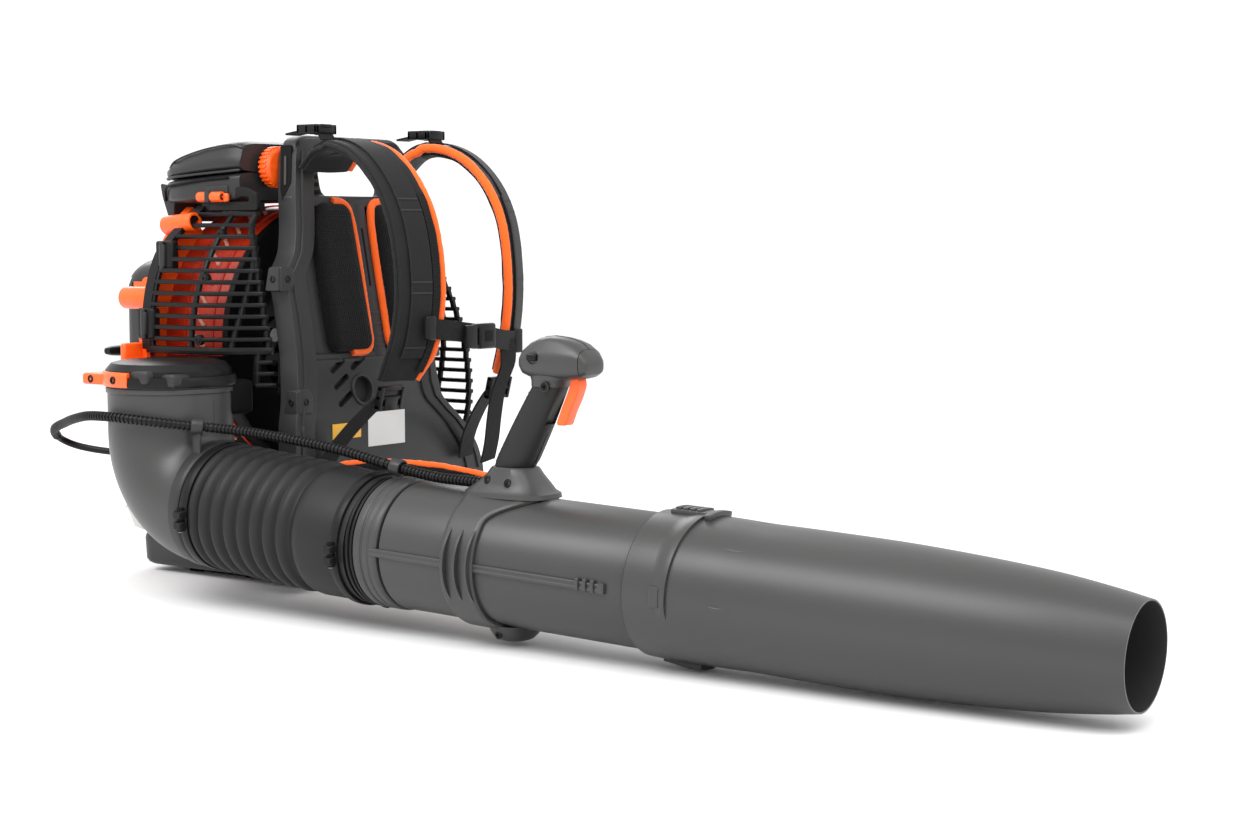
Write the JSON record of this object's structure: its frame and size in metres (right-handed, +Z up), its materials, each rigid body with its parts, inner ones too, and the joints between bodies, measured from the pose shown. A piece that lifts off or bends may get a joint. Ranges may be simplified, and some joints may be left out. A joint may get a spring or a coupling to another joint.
{
  "type": "backpack leaf blower",
  "caption": "Backpack leaf blower with a padded harness and frame, engine-driven fan, flexible duct, swinging blower tube with a clamped throttle handle, and a tapered nozzle.",
  "frame": {"origin": "centre of the foot's underside, on the floor", "axes": "+X forward as the wearer faces and along the blower tube, +Y to the wearer's left, +Z up"},
  "size_m": [1.3253, 0.5092, 0.5075],
  "materials": {
    "grey_plastic": "moulded, fine texture",
    "dark_plastic": "moulded, matte",
    "black_plastic": "moulded, matte",
    "orange_plastic": "moulded, satin",
    "hose_rubber": "matte",
    "foot_rubber": "matte",
    "tank_plastic": "translucent white",
    "engine_metal": "cast",
    "steel": "machined",
    "webbing": "woven",
    "padding": "foam-backed cloth",
    "filter_paper": "pleated"
  },
  "bodies": {
    "root": {"back_frame": "grey_plastic", "back_pad_left": "padding", "back_pad_right": "padding", "base_foot": "foot_rubber", "base_tray": "grey_plastic", "cable_clip_rear": "grey_plastic", "cable_rear": "black_plastic", "carburettor": "engine_metal", "chest_buckle": "black_plastic", "chest_strap": "webbing", "crankcase": "engine_metal", "cylinder": "engine_metal", "elbow": "grey_plastic", "engine_cover": "dark_plastic", "fan_housing": "orange_plastic", "filter_base": "dark_plastic", "filter_cover": "dark_plastic", "filter_element": "filter_paper", "fuel_tank": "tank_plastic", "hip_belt_left": "padding", "hip_belt_right": "padding", "intake_guard_left": "black_plastic", "intake_guard_right": "black_plastic", "lower_buckle_left": "black_plastic", "lower_buckle_right": "black_plastic", "lower_webbing_left": "webbing", "lower_webbing_right": "webbing", "muffler": "steel", "rear_hose_clamp": "dark_plastic", "shoulder_strap_left": "padding", "shoulder_strap_right": "padding", "spark_plug": "black_plastic", "top_buckle_left": "black_plastic", "top_buckle_right": "black_plastic"},
    "crank": {"crankshaft": "steel", "impeller": "dark_plastic"},
    "rod": {"connecting_rod": "steel"},
    "piston": {"piston": "engine_metal"},
    "starter_pulley": {"starter_pulley": "black_plastic"},
    "starter_handle": {"starter_handle": "dark_plastic"},
    "primer_bulb": {"primer_bulb": "black_plastic"},
    "choke_lever": {"choke_lever": "orange_plastic"},
    "fuel_cap": {"fuel_cap": "black_plastic"},
    "filter_knob": {"filter_knob": "orange_plastic"},
    "hose_middle": {"hose_rear": "hose_rubber", "cable_hose_rear": "black_plastic"},
    "hose_end": {"hose_front": "hose_rubber", "front_hose_clamp": "dark_plastic", "swivel_collar": "grey_plastic", "cable_hose_front": "black_plastic", "cable_clip_front": "grey_plastic"},
    "tube": {"blower_tube": "grey_plastic", "cable_front": "black_plastic"},
    "handle": {"handle_clamp": "grey_plastic", "handle_grip": "dark_plastic", "handle_head": "grey_plastic"},
    "trigger": {"throttle_trigger": "orange_plastic"},
    "stop_switch": {"stop_switch": "black_plastic"},
    "nozzle": {"nozzle": "grey_plastic"}
  },
  "joints": [
    {"name": "crank_spin", "type": "hinge", "parent": "root", "child": "crank", "pos_m": [-0.14, 0, 0.27], "axis": [1, 0, 0], "continuous": true},
    {"name": "rod_turn", "type": "hinge", "parent": "crank", "child": "rod", "pos_m": [-0.14, 0.01, 0.27], "axis": [1, 0, 0], "continuous": true},
    {"name": "piston_slide", "type": "slide", "parent": "root", "child": "piston", "axis": [0, 0, 1], "range_m": [-0.01, 0.01]},
    {"name": "starter_pull", "type": "slide", "parent": "root", "child": "starter_handle", "axis": [-1, 0, 0], "range_m": [0, 0.04], "stiffness_N_per_m": 60, "springref_m": -0.05},
    {"name": "starter_turn", "type": "hinge", "parent": "root", "child": "starter_pulley", "pos_m": [-0.1915, 0, 0.27], "axis": [1, 0, 0], "range_deg": [0, 77]},
    {"name": "primer_press", "type": "slide", "parent": "root", "child": "primer_bulb", "axis": [0, 1, 0], "range_m": [0, 0.004], "stiffness_N_per_m": 400},
    {"name": "choke_turn", "type": "hinge", "parent": "root", "child": "choke_lever", "pos_m": [-0.15, -0.112, 0.33], "axis": [0, 1, 0], "range_deg": [0, 60]},
    {"name": "fuel_cap_turn", "type": "hinge", "parent": "root", "child": "fuel_cap", "pos_m": [-0.165, 0.075, 0.1103], "axis": [0, 0, 1], "range_deg": [0, 180]},
    {"name": "filter_knob_turn", "type": "hinge", "parent": "root", "child": "filter_knob", "pos_m": [0.024, -0.088, 0.462], "axis": [1, 0, 0], "range_deg": [0, 180]},
    {"name": "hose_yaw", "type": "hinge", "parent": "root", "child": "hose_middle", "pos_m": [0.15, -0.235, 0.1], "axis": [0, 0, 1], "range_deg": [-25, 5], "deforming": ["hose_rear", "cable_hose_rear"]},
    {"name": "hose_pitch", "type": "hinge", "parent": "hose_middle", "child": "hose_end", "pos_m": [0.262, -0.235, 0.0912], "axis": [0, -1, 0], "range_deg": [-10, 30], "deforming": ["hose_front", "cable_hose_front"]},
    {"name": "tube_roll", "type": "hinge", "parent": "hose_end", "child": "tube", "pos_m": [0.35, -0.235, 0.0854], "axis": [0.9994, 0, -0.0345], "range_deg": [-20, 20], "deforming": ["cable_front"]},
    {"name": "handle_slide", "type": "slide", "parent": "tube", "child": "handle", "axis": [0.9994, 0, -0.0345], "range_m": [-0.03, 0.05]},
    {"name": "throttle_squeeze", "type": "hinge", "parent": "handle", "child": "trigger", "pos_m": [0.553, -0.235, 0.257], "axis": [0, 1, 0], "range_deg": [0, 10], "stiffness_Nm_per_rad": 0.2, "springref_deg": -17.19},
    {"name": "stop_switch_slide", "type": "slide", "parent": "handle", "child": "stop_switch", "axis": [1, 0, 0], "range_m": [-0.003, 0.003]},
    {"name": "nozzle_slide", "type": "slide", "parent": "tube", "child": "nozzle", "axis": [0.9994, 0, -0.0345], "range_m": [0, 0.045]}
  ],
  "couplings": [
    {"joint": "rod_turn", "follows": "crank_spin", "ratio": -1},
    {"joint": "starter_turn", "follows": "starter_pull", "rad_per_m": 33.333}
  ]
}
